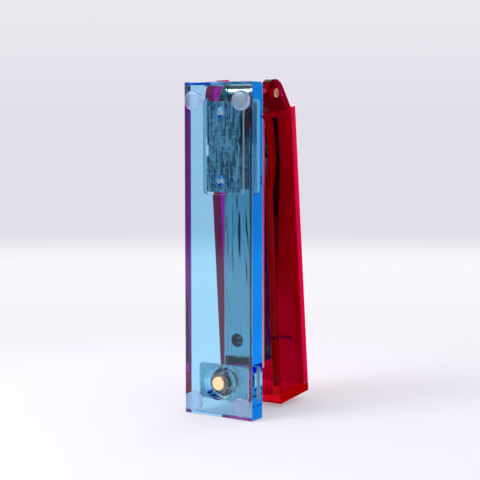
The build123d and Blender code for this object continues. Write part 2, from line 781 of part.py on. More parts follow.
# Leaf spring: clamped under the top plate, led under the cross pin, with a tongue at the blade
leaf_end = blade_from_pivot + leaf_tongue_reach
clamp_end = leaf_rear + leaf_clamp_length
leaf_shoulder = blade_from_pivot - blade_sheet / 2 - side_gap
leaf_drop = leaf_sheet / 2 / math.cos(math.radians(slope_degrees))
with BuildPart() as driver_leaf:
    with BuildSketch(side_plane(-leaf_width / 2, rest_tilt)):
        with BuildLine():
            FilletPolyline(
                (leaf_rear, wall_top(leaf_rear) - leaf_drop),
                (clamp_end, wall_top(clamp_end) - leaf_drop),
                (cross_pin_from_pivot - leaf_bend, leaf_under_pin),
                (leaf_end, leaf_under_pin),
                radius=leaf_bend,
            )
        trace(line_width=leaf_sheet)
    extrude(amount=leaf_width)
    for place in leaf_screw_places:
        with BuildSketch(under_plate(place)):
            Circle(leaf_screw_diameter / 2)
        extrude(amount=-2 * leaf_sheet, mode=Mode.SUBTRACT)
    trim = (leaf_width - leaf_tongue_width) / 2
    for trim_y in (-leaf_width / 2, leaf_tongue_width / 2):
        with BuildSketch(side_plane(trim_y, rest_tilt)):
            with Locations((leaf_shoulder, leaf_under_pin - leaf_sheet)):
                Rectangle(leaf_end, 2 * leaf_sheet, align=(Align.MIN, Align.MIN))
        extrude(amount=trim, mode=Mode.SUBTRACT)
save("driver_leaf", driver_leaf)

# Screws that hold the leaf to the top plate
with BuildPart() as leaf_screws:
    for place in leaf_screw_places:
        with BuildSketch(under_plate(place).offset(-leaf_sheet)):
            Circle(leaf_screw_diameter / 2)
        extrude(amount=leaf_sheet + leaf_screw_depth)
        with BuildSketch(under_plate(place).offset(-leaf_sheet)):
            Circle(leaf_head_diameter / 2)
        extrude(amount=-leaf_head_height)
save("leaf_screws", leaf_screws)

# Driver blade hung on the leaf's tongue
blade_top = leaf_under_pin + leaf_sheet / 2 + blade_head
with BuildPart() as driver_blade:
    with BuildSketch(side_plane(-blade_width / 2, rest_tilt)):
        with Locations((blade_from_pivot, blade_tip)):
            Rectangle(blade_sheet, blade_top - blade_tip, align=(Align.CENTER, Align.MIN))
    extrude(amount=blade_width)
    slot_half = leaf_tongue_width / 2 + blade_slot_gap
    with BuildSketch(side_plane(-slot_half, rest_tilt)):
        with Locations((blade_from_pivot, leaf_under_pin)):
            Rectangle(2 * blade_sheet, leaf_sheet + 2 * blade_slot_gap)
    extrude(amount=2 * slot_half, mode=Mode.SUBTRACT)
save("driver_blade", driver_blade)

# Cross pin through both walls, over the leaf
with BuildPart() as cross_pin:
    with BuildSketch(side_plane(-handle_width / 2, rest_tilt)):
        with Locations((cross_pin_from_pivot, cross_pin_rise)):
            Circle(cross_pin_diameter / 2)
    extrude(amount=handle_width)
save("cross_pin", cross_pin)
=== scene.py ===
"""Finish of a desk stapler: a clear blue base slab and a clear red box handle round a steel magazine."""

import json
import math

import bpy
import numpy as np
from bpy.props import FloatProperty, FloatVectorProperty, PointerProperty
from mathutils import Matrix, Vector


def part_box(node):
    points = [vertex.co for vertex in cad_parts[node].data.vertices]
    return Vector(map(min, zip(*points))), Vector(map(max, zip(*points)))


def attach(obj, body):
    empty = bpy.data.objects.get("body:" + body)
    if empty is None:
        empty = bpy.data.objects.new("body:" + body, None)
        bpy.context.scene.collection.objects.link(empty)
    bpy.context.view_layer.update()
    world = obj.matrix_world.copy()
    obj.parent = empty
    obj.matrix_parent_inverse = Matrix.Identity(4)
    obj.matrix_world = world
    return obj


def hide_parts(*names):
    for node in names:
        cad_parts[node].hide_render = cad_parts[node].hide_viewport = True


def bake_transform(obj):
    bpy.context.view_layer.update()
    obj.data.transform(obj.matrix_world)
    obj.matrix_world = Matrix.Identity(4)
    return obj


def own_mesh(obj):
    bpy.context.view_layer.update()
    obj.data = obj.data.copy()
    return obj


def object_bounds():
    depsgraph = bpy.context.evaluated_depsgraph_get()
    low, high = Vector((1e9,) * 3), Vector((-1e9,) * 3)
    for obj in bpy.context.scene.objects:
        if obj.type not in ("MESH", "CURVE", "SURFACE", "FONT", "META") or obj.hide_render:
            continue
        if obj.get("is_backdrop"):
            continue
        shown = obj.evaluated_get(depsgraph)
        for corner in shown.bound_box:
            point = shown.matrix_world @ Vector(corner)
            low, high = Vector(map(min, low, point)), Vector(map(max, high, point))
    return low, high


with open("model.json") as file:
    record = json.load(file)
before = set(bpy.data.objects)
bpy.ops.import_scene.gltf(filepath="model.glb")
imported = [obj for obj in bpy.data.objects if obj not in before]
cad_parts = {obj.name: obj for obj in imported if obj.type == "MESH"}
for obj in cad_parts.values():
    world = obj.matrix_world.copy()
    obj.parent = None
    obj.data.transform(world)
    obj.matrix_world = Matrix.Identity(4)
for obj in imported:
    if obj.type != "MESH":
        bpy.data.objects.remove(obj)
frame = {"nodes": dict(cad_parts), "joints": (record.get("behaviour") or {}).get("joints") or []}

bl_info = {
    "name": "Clear Acrylic Stapler",
    "version": (1, 0, 0),
    "blender": (4, 5, 0),
    "location": "View3D > Sidebar > Stapler",
    "description": "Builds the visual pieces, finishes and studio of an acrylic desk stapler",
    "category": "Add Mesh",
}

MM = 0.001
NODES = frame["nodes"]
JOINTS = {joint["name"]: joint for joint in frame["joints"]}
PIVOT = Vector(JOINTS["handle_hinge"]["pos_m"])
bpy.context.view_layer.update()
BASE_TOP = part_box("base_slab")[1].z
BUTTON_LOW, BUTTON_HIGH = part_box("anvil_button")
BUTTON_AXIS = (BUTTON_LOW + BUTTON_HIGH) / 2
FLANGE_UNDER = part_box("hinge_bracket")[0].z
ANVIL_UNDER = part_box("anvil_plate")[0].z
# Optical air gap between touching faces, so that clear and opaque faces never share a plane
AIR = 0.04 * MM
# How far a cutter reaches past the box that it cuts
PAST = 20 * MM

# Node kinds that the materials use again and again
MATH = "ShaderNodeMath"
VECTOR = "ShaderNodeVectorMath"
RANGE = "ShaderNodeMapRange"
MIX = "ShaderNodeMix"
BUMP = "ShaderNodeBump"
SPLIT = "ShaderNodeSeparateXYZ"
SURFACE = "ShaderNodeBsdfPrincipled"
# Places of a mix node's colour inputs: the node repeats their names for each kind of value
FROM, TO = 6, 7
# Tests that a mask can make
TESTS = {"<": "LESS_THAN", ">": "GREATER_THAN"}

# Zones of the studio: soft edges along a direction, each with the cosines where it starts and ends.
# Height is up the standing stapler, behind is away from the camera and beside is to the camera's right.
FLOOR_FADE = [("height", -0.22, -0.115)]
WALL_FADE = [("height", -0.02, 0.09)]
HORIZON = [("height", -0.112, -0.086)]
FRONT_FLAG = [
    ("behind", -0.48, -0.56), ("behind", -0.88, -0.8), ("beside", -0.3, -0.4),
    ("height", -0.135, -0.105), ("height", 0.3, 0.2)]
RIGHT_FLAG = [
    ("behind", 0.1, 0.18), ("behind", 0.64, 0.56), ("beside", 0.74, 0.82),
    ("height", -0.15, -0.12), ("height", 0.3, 0.2)]
CEILING_BAND = [("height", 0.28, 0.36), ("height", 0.72, 0.62)]
UPPER_ROOM = [("height", 0.04, 0.12)]
LOWER_ROOM = [("height", -0.34, -0.42)]
LEFT_FLOOR = [("beside", -0.5, -0.7), ("height", -0.09, -0.125)]
BACKDROP = [("behind", 0.5, 0.62)]


# Small helpers

def linear(code):
    """Linear RGBA of an sRGB hex colour: the sRGB transfer curve, channel by channel."""
    channels = [int(code[i:i + 2], 16) / 255 for i in (1, 3, 5)]
    return tuple(c / 12.92 if c <= 0.04045 else ((c + 0.055) / 1.055) ** 2.4 for c in channels) + (1.0,)


def shaded(colour, share):
    """A linear colour at a share of its brightness."""
    return [channel * share for channel in colour[:3]] + [1]


def length(name, description, size):
    """A setting that is a length, with its size in millimetres."""
    return FloatProperty(name=name, description=description, default=size * MM, unit="LENGTH")


def lengths(name, description, *sizes):
    """A setting that is a row of lengths, with their sizes in millimetres."""
    row = [size * MM for size in sizes]
    return FloatVectorProperty(name=name, description=description, default=row, size=len(row), unit="LENGTH")


def add(tree, kind, links=None, **settings):
    """Add a node with its attributes: links gives its inputs values, sockets or nodes' first outputs."""
    node = tree.nodes.new(kind)
    for name, value in settings.items():
        setattr(node, name, value)
    for name, value in (links or {}).items():
        if isinstance(value, bpy.types.Node):
            value = next(socket for socket in value.outputs if socket.enabled)
        if isinstance(value, bpy.types.NodeSocket):
            tree.links.new(value, node.inputs[name])
        else:
            node.inputs[name].default_value = value
    return node


def fold(tree, operation, values):
    """Take a list of values down to one, two at a time, by one kind of arithmetic."""
    total, *others = values
    for value in others:
        total = add(tree, MATH, {0: total, 1: value}, operation=operation)
    return total


def where(tree, *tests):
    """One where every test (value, sign, limit) holds, and nought elsewhere."""
    masks = [add(tree, MATH, {0: value, 1: limit}, operation=TESTS[sign]) for value, sign, limit in tests]
    return fold(tree, "MULTIPLY", masks)


def within(tree, place, low, high):
    """One inside the box from low to high and nought outside it."""
    tests = []
    for side, least, most in zip(add(tree, SPLIT, {0: place}).outputs, low, high):
        tests += [(side, ">", least), (side, "<", most)]
    return where(tree, *tests)


def grain(tree, place, sizes, detail=3.0):
    """Noise whose cells measure sizes along X, Y and Z, in millimetres."""
    scale = [1 / (size * MM) for size in sizes]
    fitted = add(tree, "ShaderNodeMapping", {"Vector": place, "Scale": scale})
    return add(tree, "ShaderNodeTexNoise", {"Vector": fitted, "Scale": 1.0, "Detail": detail})


def start_material(name):
    """A new material with an empty tree, and its Object coordinates."""
    material = bpy.data.materials.new(name)
    material.use_nodes = True
    tree = material.node_tree
    tree.nodes.clear()
    return material, tree, add(tree, "ShaderNodeTexCoord").outputs["Object"]


def end_material(material, surface, volume=None):
    """Link a surface and an optional volume to a material's output, and give the material back."""
    links = {"Surface": surface}
    if volume is not None:
        links["Volume"] = volume
    add(material.node_tree, "ShaderNodeOutputMaterial", links)
    return material


def dress(material, *nodes):
    """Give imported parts' objects a material."""
    for node in nodes:
        NODES[node].data.materials.clear()
        NODES[node].data.materials.append(material)


def new_piece(name, mesh, material, body, slot, *nodes):
    """Link a mesh as a piece that rides on a body, if any, and stands for the given nodes."""
    piece = bpy.data.objects.new(name, mesh)
    mesh.materials.append(material)
    bpy.context.scene.collection.objects.link(piece)
    if body:
        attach(piece, body)
    if nodes:
        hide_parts(*nodes)
    return piece


# Shapes

def sharpen(mesh, degrees):
    """Shade a mesh smooth, with edges sharper than an angle kept crisp."""
    mesh.shade_smooth()
    mesh.set_sharp_from_angle(angle=math.radians(degrees))
    return mesh


def read(items, field, kind, width=1):
    """One field of a mesh's items as a table of rows."""
    values = np.empty(len(items) * width, kind)
    items.foreach_get(field, values)
    return values.reshape(-1, width)


def merged(mesh):
    """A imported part's loose triangles as one surface: corners at the same place joined, normals kept."""
    points = read(mesh.vertices, "co", np.float32, 3)
    first, shared = np.unique(points.round(7), axis=0, return_index=True, return_inverse=True)[1:]
    faces = shared.ravel()[read(mesh.loops, "vertex_index", np.int32).ravel()].reshape(-1, 3)
    normals = read(mesh.corner_normals, "vector", np.float32, 3).reshape(-1, 3, 3)
    whole = (faces != np.roll(faces, 1, axis=1)).all(axis=1)
    made = bpy.data.meshes.new(mesh.name + "_merged")
    made.from_pydata(points[first], [], faces[whole].tolist())
    made.shade_smooth()
    made.normals_split_custom_set(normals[whole].reshape(-1, 3).tolist())
    return made


def prism(name, outline, y_low, y_high):
    """Closed prism: an outline of (x, z) points carried along Y from y_low to y_high."""
    count = len(outline)
    near = np.column_stack((outline[:, 0], np.full(count, y_low), outline[:, 1]))
    far = np.column_stack((outline[:, 0], np.full(count, y_high), outline[:, 1]))
    first = np.arange(count)
    following = np.roll(first, -1)
    sides = np.column_stack((first, following, following + count, first + count))
    ends = [first[::-1].tolist(), (first + count).tolist()]
    mesh = bpy.data.meshes.new(name)
    mesh.from_pydata(np.vstack((near, far)), [], sides.tolist() + ends)
    return mesh


def arc(centre, radius, start, end, count):
    """Points on a circle from a start to an end angle in degrees: centre + radius * (cos, sin)."""
    angles = np.radians(np.linspace(start, end, count))
    return np.column_stack((centre[0] + radius * np.cos(angles), centre[1] + radius * np.sin(angles)))


def circle(centre, radius, sides):
    """Points evenly spaced all round a circle."""
    return arc(centre, radius, 0, 360 - 360 / sides, sides)


def repeated(name, points, parts, spots):
    """One mesh of copies of a body, its points and tables of faces, at each spot."""
    every = (points[None] + spots[:, None]).reshape(-1, 3)
    steps = np.arange(len(spots))[:, None, None] * len(points)
    faces = []
    for part in parts:
        faces += (part[None] + steps).reshape(-1, part.shape[1]).tolist()
    mesh = bpy.data.meshes.new(name)
    mesh.from_pydata(every, [], faces)
    return mesh


def lathe(name, profile, spots, sides=48):
    """Closed turned bodies: a profile of (radius, z) from axis to axis, spun round each spot's axis."""
    radius, height = profile[1:-1, 0], profile[1:-1, 1]
    ring = circle((0, 0), 1, sides)
    rows = len(radius)
    heights = np.broadcast_to(height[:, None, None], (rows, sides, 1))
    body = np.concatenate((radius[:, None, None] * ring, heights), axis=-1)
    poles = np.array(((0, 0, profile[0, 1]), (0, 0, profile[-1, 1])))
    points = np.vstack((body.reshape(-1, 3), poles))
    index = np.arange(rows * sides).reshape(rows, sides)
    turned = np.roll(index, -1, axis=1)
    quads = np.stack((index[:-1], turned[:-1], turned[1:], index[1:]), axis=-1).reshape(-1, 4)
    first = np.column_stack((np.full(sides, rows * sides), turned[0], index[0]))
    last = np.column_stack((np.full(sides, rows * sides + 1), index[-1], turned[-1]))
    return sharpen(repeated(name, points, (quads, first, last), spots), 35)


def evaluated(piece):
    """The mesh of an object with its modifiers applied."""
    graph = bpy.context.evaluated_depsgraph_get()
    return bpy.data.meshes.new_from_object(piece.evaluated_get(graph))


def wire(name, points, radius):
    """A round wire along a path of points: a circle carried along it, with closed ends."""
    curve = bpy.data.curves.new(name, "CURVE")
    curve.dimensions = "3D"
    curve.bevel_depth = radius
    curve.bevel_resolution = 3
    curve.use_fill_caps = True
    run = curve.splines.new("POLY")
    run.points.add(len(points) - 1)
    run.points.foreach_set("co", np.column_stack((points, np.ones(len(points)))).ravel())
    holder = bpy.data.objects.new(name, curve)
    bpy.context.scene.collection.objects.link(holder)
    bpy.context.view_layer.update()
    mesh = evaluated(holder)
    bpy.data.objects.remove(holder)
    return sharpen(mesh, 50)


def coil(centre, radii, rise, turns, axes, start=0.0, per_turn=40):
    """Helix: centre + r (cos a, sin a) in the first two axes + rise along the third.

    The radius r runs from the first of radii to the second, and the angle a from start through the turns.
    """
    share = np.linspace(0, 1, max(int(turns * per_turn), 8))[:, None]
    angle = start + math.tau * turns * share
    radius = radii[0] + (radii[1] - radii[0]) * share
    across, up, along = (np.array(axis, float) for axis in axes)
    return np.array(centre) + radius * (np.cos(angle) * across + np.sin(angle) * up) + rise * share * along


# Materials

ACRYLIC_IOR = 1.49
CLEAR = linear("#FFFFFF")
# The red sheets' gloss is red too, because their dye reaches the skin
RED_GLOSS = linear("#FF3050")
# What the dyes let through, as linear shares: depth multiplies them, and the steps of hex are too coarse
BLUE_DYE = (0.0, 0.733, 0.99, 1)
RED_DYE = (0.985, 0.0, 0.82, 1)


def cast_acrylic(name, tint, density, marks, milled, satin):
    """Cast acrylic, flame polished: clear depth that darkens with its thickness, satin where milled."""
    material, tree, place = start_material(name)
    haze = grain(tree, place, (18, 18, 18))
    scuff = grain(tree, place, (30, 1, 1))
    worn = add(tree, MATH, {0: haze, 1: scuff}, operation="MULTIPLY")
    polish = add(tree, RANGE, {"Value": worn, "From Min": 0.2, "From Max": 0.6, "To Max": marks})
    cut = fold(tree, "MAXIMUM", [within(tree, place, low, high) for low, high in milled])
    matt = add(tree, MATH, {0: cut, 1: satin}, operation="MULTIPLY")
    shader = add(tree, SURFACE, {
        "Base Color": CLEAR,
        "Roughness": add(tree, MATH, {0: polish, 1: matt}, operation="MAXIMUM"),
        "IOR": ACRYLIC_IOR,
        "Transmission Weight": 1.0,
    })
    depth = add(tree, "ShaderNodeVolumeAbsorption", {"Color": tint, "Density": density})
    return end_material(material, shader, depth)


def ear_shade_mask(tree, along, above, size, hollow):
    """One where the right ear gets its painted shade: within the ear's outline, clear of the hollow and of
    the pin hole.
    """
    side = add(tree, "ShaderNodeCombineXYZ", {"X": along, "Y": above})
    lobe = Vector((size.lobe_ahead, -size.lobe_drop, 0))
    slant = Vector((size.plate_rear, size.top_rear, 0)) - lobe
    lean = math.atan2(slant.y, slant.x) + math.acos(size.lobe / slant.length)
    edge = Vector((math.cos(lean), math.sin(lean), 0))
    inside = size.lobe - size.shade_rim
    offset = add(tree, VECTOR, {0: side, 1: lobe}, operation="SUBTRACT")
    reach = add(tree, VECTOR, {0: offset}, operation="LENGTH")
    slope = add(tree, VECTOR, {0: offset, 1: edge}, operation="DOT_PRODUCT")
    disc = where(tree, (reach, "<", inside))
    wedge = where(tree, (along, ">", lobe.x), (slope, "<", inside))
    limits = [(along, "<", size.plate_rear + size.shade_reach)]
    for (x, y), radius in (hollow, ((0, 0), size.pin_hole / 2)):
        away = add(tree, VECTOR, {0: side, 1: (x, y, 0)}, operation="DISTANCE")
        limits.append((away, ">", radius + size.shade_rim / 2))
    outline = add(tree, MATH, {0: disc, 1: wedge}, operation="MAXIMUM")
    return add(tree, MATH, {0: outline, 1: where(tree, *limits)}, operation="MULTIPLY")


def red_acrylic_painted_shade(name, size, turn, inner, hollow):
    """Cast red acrylic: clear depth with glowing edges and satin on a sawn edge, with painted shade: a
    copper backing that darkens the right ear, and a dark red tint on the front wall's inner face and the
    right wall's lower edge.
    """
    material, tree, place = start_material(name)
    ahead, up = (Vector((row[0], 0, row[1])) for row in turn)
    moved = add(tree, VECTOR, {0: place, 1: PIVOT}, operation="SUBTRACT")
    along = add(tree, VECTOR, {0: moved, 1: ahead}, operation="DOT_PRODUCT")
    above = add(tree, VECTOR, {0: moved, 1: up}, operation="DOT_PRODUCT")
    beside = add(tree, SPLIT, {0: place}).outputs["Y"]
    facing = add(tree, "ShaderNodeTexCoord").outputs["Normal"]
    turned = add(tree, VECTOR, {0: facing, 1: up}, operation="DOT_PRODUCT")
    wall, sheet = inner
    front = size.front - sheet
    right_wall = where(tree, (beside, ">", 0.0), (beside, "<", wall + AIR))
    # Painted shade: an opaque copper backing on the inside of the right wall, within the ear, darkens the
    # ear
    shade_outline = ear_shade_mask(tree, along, above, size, hollow)
    shaded_ear = add(tree, MATH, {0: shade_outline, 1: right_wall}, operation="MULTIPLY")
    front_face = where(tree, (along, ">", front - size.front_shade_depth), (along, "<", front + AIR))
    # Faces that look down, behind the front wall
    low_edge = (turned, "<", -0.5), (along, "<", front)
    right_edge = where(tree, *low_edge, (beside, ">", wall - AIR))
    left_edge = where(tree, *low_edge, (beside, "<", AIR - wall))

    # Painted shade: a dark red tint on the front wall's inner face and on the right wall's lower edge
    painted_shade = add(tree, MATH, {0: front_face, 1: right_edge}, operation="MAXIMUM")
    scuff = grain(tree, place, (30, 1, 1))
    glass = add(tree, SURFACE, {
        "Base Color": add(tree, MIX, {0: painted_shade, FROM: CLEAR, TO: linear("#BC1014")}, data_type="RGBA"),
        "Roughness": add(tree, RANGE, {"Value": scuff, "From Min": 0.4, "From Max": 0.7, "To Max": 0.03}),
        "IOR": ACRYLIC_IOR,
        "Specular Tint": RED_GLOSS,
        "Transmission Weight": 1.0,
    })

    # The copper of the ear's painted shade, a little lighter further from the pivot
    cloud = add(tree, RANGE, {
        "Value": grain(tree, place, (25, 12, 12)), "To Min": -12 * MM, "To Max": 12 * MM})
    shifted = add(tree, MATH, {0: along, 1: cloud}, operation="ADD")
    depth = add(tree, RANGE, {"Value": shifted, "From Min": 10 * MM, "From Max": 120 * MM})
    painted_copper = add(tree, MIX, {
        0: depth, FROM: linear("#B06848"), TO: linear("#C87C58")}, data_type="RGBA")
    brushed = grain(tree, place, (20, 0.5, 0.5))
    ear_shade = add(tree, SURFACE, {
        "Base Color": painted_copper,
        "Metallic": 1.0,
        "Roughness": add(tree, RANGE, {"Value": brushed, "To Min": 0.2, "To Max": 0.35}),
    })

    saw = grain(tree, place, (0.6, 6, 6))
    plum = add(tree, MIX, {0: saw, FROM: linear("#88002E"), TO: linear("#A8003C")}, data_type="RGBA")
    satin = add(tree, SURFACE, {
        "Base Color": plum,
        "Roughness": add(tree, RANGE, {"Value": saw, "To Min": 0.4, "To Max": 0.6}),
        "IOR": ACRYLIC_IOR,
        "Specular Tint": RED_GLOSS,
    })

    mix = add(tree, "ShaderNodeMixShader", {0: shaded_ear, 1: glass, 2: ear_shade})
    mix = add(tree, "ShaderNodeMixShader", {0: left_edge, 1: mix, 2: satin})
    absorb = add(tree, "ShaderNodeVolumeAbsorption", {"Color": RED_DYE, "Density": 1000.0})
    return end_material(material, mix, absorb)


def opal_acrylic(name, colour):
    """Opal acrylic sheet: light soaks in and glows from its edges, under a polished skin."""
    material, tree, place = start_material(name)
    cloud = grain(tree, place, (25, 12, 12))
    scuff = grain(tree, place, (30, 1, 1))
    shader = add(tree, SURFACE, {
        "Base Color": add(tree, MIX, {0: cloud, FROM: shaded(colour, 0.9), TO: colour}, data_type="RGBA"),
        "Roughness": add(tree, RANGE, {"Value": scuff, "To Min": 0.08, "To Max": 0.2}),
        "IOR": ACRYLIC_IOR,
        "Specular Tint": RED_GLOSS,
        "Subsurface Weight": 1.0,
        "Subsurface Radius": (1.0, 0.08, 0.25),
        "Subsurface Scale": 4 * MM,
    })
    return end_material(material, shader)


def steel(name, colour, rough, cells, depth=0.01, wave=None, lip=None):
    """Steel with a drawn or brushed grain of cells in millimetres, slow dents and, where asked, a painted
    highlight along the top edge.
    """
    material, tree, place = start_material(name)
    fine = grain(tree, place, cells, 4.0)
    normal = add(tree, BUMP, {"Height": fine, "Distance": depth * MM})
    if wave:
        *waves, dent = wave
        dents = grain(tree, place, waves, 2.0)
        normal = add(tree, BUMP, {"Height": dents, "Distance": dent * MM, "Normal": normal})
    tone = add(tree, MIX, {0: fine, FROM: shaded(colour, 0.86), TO: colour}, data_type="RGBA")
    metal = 1.0
    # Painted highlight: a matt, non-metal peach band that stands in for light caught on the rolled top edge
    if lip:
        low, high, painted_copper = lip
        band = within(tree, place, low, high)
        tone = add(tree, MIX, {0: band, FROM: tone, TO: painted_copper}, data_type="RGBA")
        metal = add(tree, MATH, {0: 1.0, 1: band}, operation="SUBTRACT")
    shader = add(tree, SURFACE, {
        "Base Color": tone,
        "Metallic": metal,
        "Roughness": add(tree, RANGE, {
            "Value": fine, "From Min": 0.3, "From Max": 0.7, "To Min": rough[0], "To Max": rough[1]}),
        "Normal": normal,
    })
    return end_material(material, shader)


def glued_steel(name, dark, light, bare_above):
    """Zinc plated steel: smooth and bright, with long wavy streaks of wet dark adhesive below a height."""
    material, tree, place = start_material(name)
    run = grain(tree, place, (14, 0.9, 4))
    curl = grain(tree, place, (1.6, 1.6, 1.6), 2.0)
    streaks = add(tree, MATH, {0: curl, 1: 0.5, 2: run}, operation="MULTIPLY_ADD")
    thin = add(tree, RANGE, {"Value": streaks, "From Min": 0.62, "From Max": 0.86})
    glued = where(tree, (add(tree, SPLIT, {0: place}).outputs["Z"], "<", bare_above))
    film = add(tree, MATH, {0: thin, 1: glued}, operation="MULTIPLY")
    wet = add(tree, MIX, {0: film, FROM: dark, TO: light}, data_type="RGBA")
    shader = add(tree, SURFACE, {
        "Base Color": add(tree, MIX, {0: glued, FROM: light, TO: wet}, data_type="RGBA"),
        "Metallic": 1.0,
        "Roughness": add(tree, RANGE, {"Value": film, "To Min": 0.06, "To Max": 0.35}),
        "Normal": add(tree, BUMP, {"Height": film, "Distance": 0.3 * MM}),
    })
    return end_material(material, shader)


def turned_gold(name, colour, centre, axis_scale, metal):
    """Gold plate over turned brass: warm satin metal with fine lathe rings round its axis."""
    material, tree, place = start_material(name)
    moved = add(tree, VECTOR, {0: place, 1: centre}, operation="SUBTRACT")
    flat = add(tree, VECTOR, {0: moved, 1: axis_scale}, operation="MULTIPLY")
    radius = add(tree, VECTOR, {0: flat}, operation="LENGTH")
    # Coarser than real feed marks, so that the rings show
    ring_pitch = 0.25 * MM
    angle = add(tree, MATH, {0: radius, 1: math.tau / ring_pitch}, operation="MULTIPLY")
    rings = add(tree, MATH, {0: angle}, operation="SINE")
    pits = grain(tree, place, (0.5, 0.5, 0.5))
    height = add(tree, MATH, {0: rings, 1: 0.2, 2: pits}, operation="MULTIPLY_ADD")
    shader = add(tree, SURFACE, {
        "Base Color": colour,
        "Metallic": metal,
        "Roughness": add(tree, RANGE, {
            "Value": pits, "From Min": 0.3, "From Max": 0.7, "To Min": 0.26, "To Max": 0.46}),
        "Normal": add(tree, BUMP, {"Height": height, "Distance": 0.012 * MM}),
    })
    return end_material(material, shader)


def moulded_plastic(name, colour, rough, grit, glow=0.0):
    """Moulded plastic: fine spark-eroded grit, with light that soaks in where it is pale."""
    material, tree, place = start_material(name)
    speck = grain(tree, place, (grit, grit, grit))
    shader = add(tree, SURFACE, {
        "Base Color": colour,
        "Roughness": add(tree, RANGE, {
            "Value": speck, "From Min": 0.3, "From Max": 0.7, "To Min": rough[0], "To Max": rough[1]}),
        "Normal": add(tree, BUMP, {"Height": speck, "Distance": 0.02 * MM}),
        "Subsurface Weight": glow,
        "Subsurface Radius": (1.0, 1.0, 1.0),
        "Subsurface Scale": 1.5 * MM,
    })
    return end_material(material, shader)


def bumper_silicone(name):
    """Cast silicone bumper: milky, half clear, with a soft gloss and faint clouds inside."""
    material, tree, place = start_material(name)
    cloud = grain(tree, place, (3, 3, 3))
    shader = add(tree, SURFACE, {
        "Base Color": linear("#DDEBFF"),
        "Roughness": add(tree, RANGE, {"Value": cloud, "To Min": 0.25, "To Max": 0.4}),
        "IOR": 1.41,
        "Transmission Weight": 0.9,
        "Coat Weight": 0.6,
        "Coat Roughness": 0.12,
    })
    return end_material(material, shader)


# Settings

class StaplerStudio(bpy.types.PropertyGroup):
    """Camera and light of the studio."""

    yaw: FloatProperty(
        name="Yaw", description="Turn of the view round the upright stapler",
        default=math.radians(32.4043), subtype="ANGLE")
    pitch: FloatProperty(
        name="Pitch", description="Downward tilt of the view",
        default=math.radians(5.4837), subtype="ANGLE")
    distance: length("Distance", "Camera to aim point", 560)
    aim: lengths("Aim", "Point the camera looks at", 4.83, 11.44, 2.45)
    lens: FloatProperty(
        name="Lens", description="Focal length in millimetres on a 36 mm sensor", default=95.43)
    wall: FloatVectorProperty(
        name="Backdrop", description="Colour of the paper behind", size=4,
        default=linear("#E1DEE8"), subtype="COLOR")
    floor: FloatVectorProperty(
        name="Floor", description="Colour of the paper below", size=4,
        default=linear("#EFECF3"), subtype="COLOR")
    floor_rings: lengths(
        "Floor rings", "Radii where the paper below starts to fade, has faded out and ends", 120, 280, 300)
    fill: FloatProperty(name="Fill", description="Strength of the light all round", default=0.8)
    key: FloatProperty(
        name="Key", description="Power of the softbox over the desk", default=1.6, unit="POWER")
    side_key: FloatProperty(
        name="Side key", description="Power of the softbox on the left", default=4.0, unit="POWER")


class StaplerBase(bpy.types.PropertyGroup):
    """Bumper feet, and the boxes round the milled walls of the slab."""

    foot_radius: length("Foot radius", "Radius of a bumper foot", 4.4)
    foot_rim: length("Foot rim", "Rounding of a bumper foot's rim", 1.2)
    pocket: lengths("Pocket", "Front, rear and half width of the box round the bracket's pocket", 20, 72, 13)
    recess: lengths("Recess", "Front, rear and half width of the box round the anvil's seat", -72, -50, 13.5)
    hole_low: length("Hole low", "Lower end of the box round the screw holes", 4)
    skin: length("Skin", "Polished skin between a milled wall and a pocket's floor or the top", 0.05)


class StaplerHandle(bpy.types.PropertyGroup):
    """Sizes of the red box handle, from the pivot: forward and up, in the handle's own tilt."""

    tilt: FloatProperty(
        name="Rest tilt", description="Tilt of the handle at rest",
        default=math.radians(4.7), subtype="ANGLE")
    front: length("Front", "Pivot to the front face", 143.5)
    low: length("Low edge", "Height of the lower edge from the pivot", -6.7)
    plate_rear: length("Plate rear", "Pivot to the top plate's rear end", 7.0)
    top_rear: length("Rear joint", "Height of the plate's joint at its rear", 12.5)
    top_front: length("Front joint", "Height of the plate's joint at its front", 15.2)
    lobe: length("Ear radius", "Radius of the round ear", 8.19)
    lobe_ahead: length("Ear ahead", "Ear centre ahead of the pivot", 1.85)
    lobe_drop: length("Ear drop", "Ear centre below the pivot", 0.75)
    relief_end: length("Relief end", "Pivot to the end of the hollow in the lower edge", 43.0)
    relief_depth: length("Relief depth", "Depth of that hollow", 3.9)
    pin_hole: length("Pin hole", "Diameter of the hole for the hinge pin", 4.4)
    edge: length("Edge", "Polished edge break", 0.25)
    # The shade rim and reach bound the painted shade in the right ear: its copper backing
    shade_rim: length("Lug rim", "Clear rim of the ear round its copper lug", 0.05)
    shade_reach: length("Lug reach", "How far the copper lug reaches in front of the plate's rear end", 1.5)
    # Depth of the painted red shade on the inside of the front wall
    front_shade_depth: length("Front skin", "Depth of red dye on the inside of the front wall", 0.3)


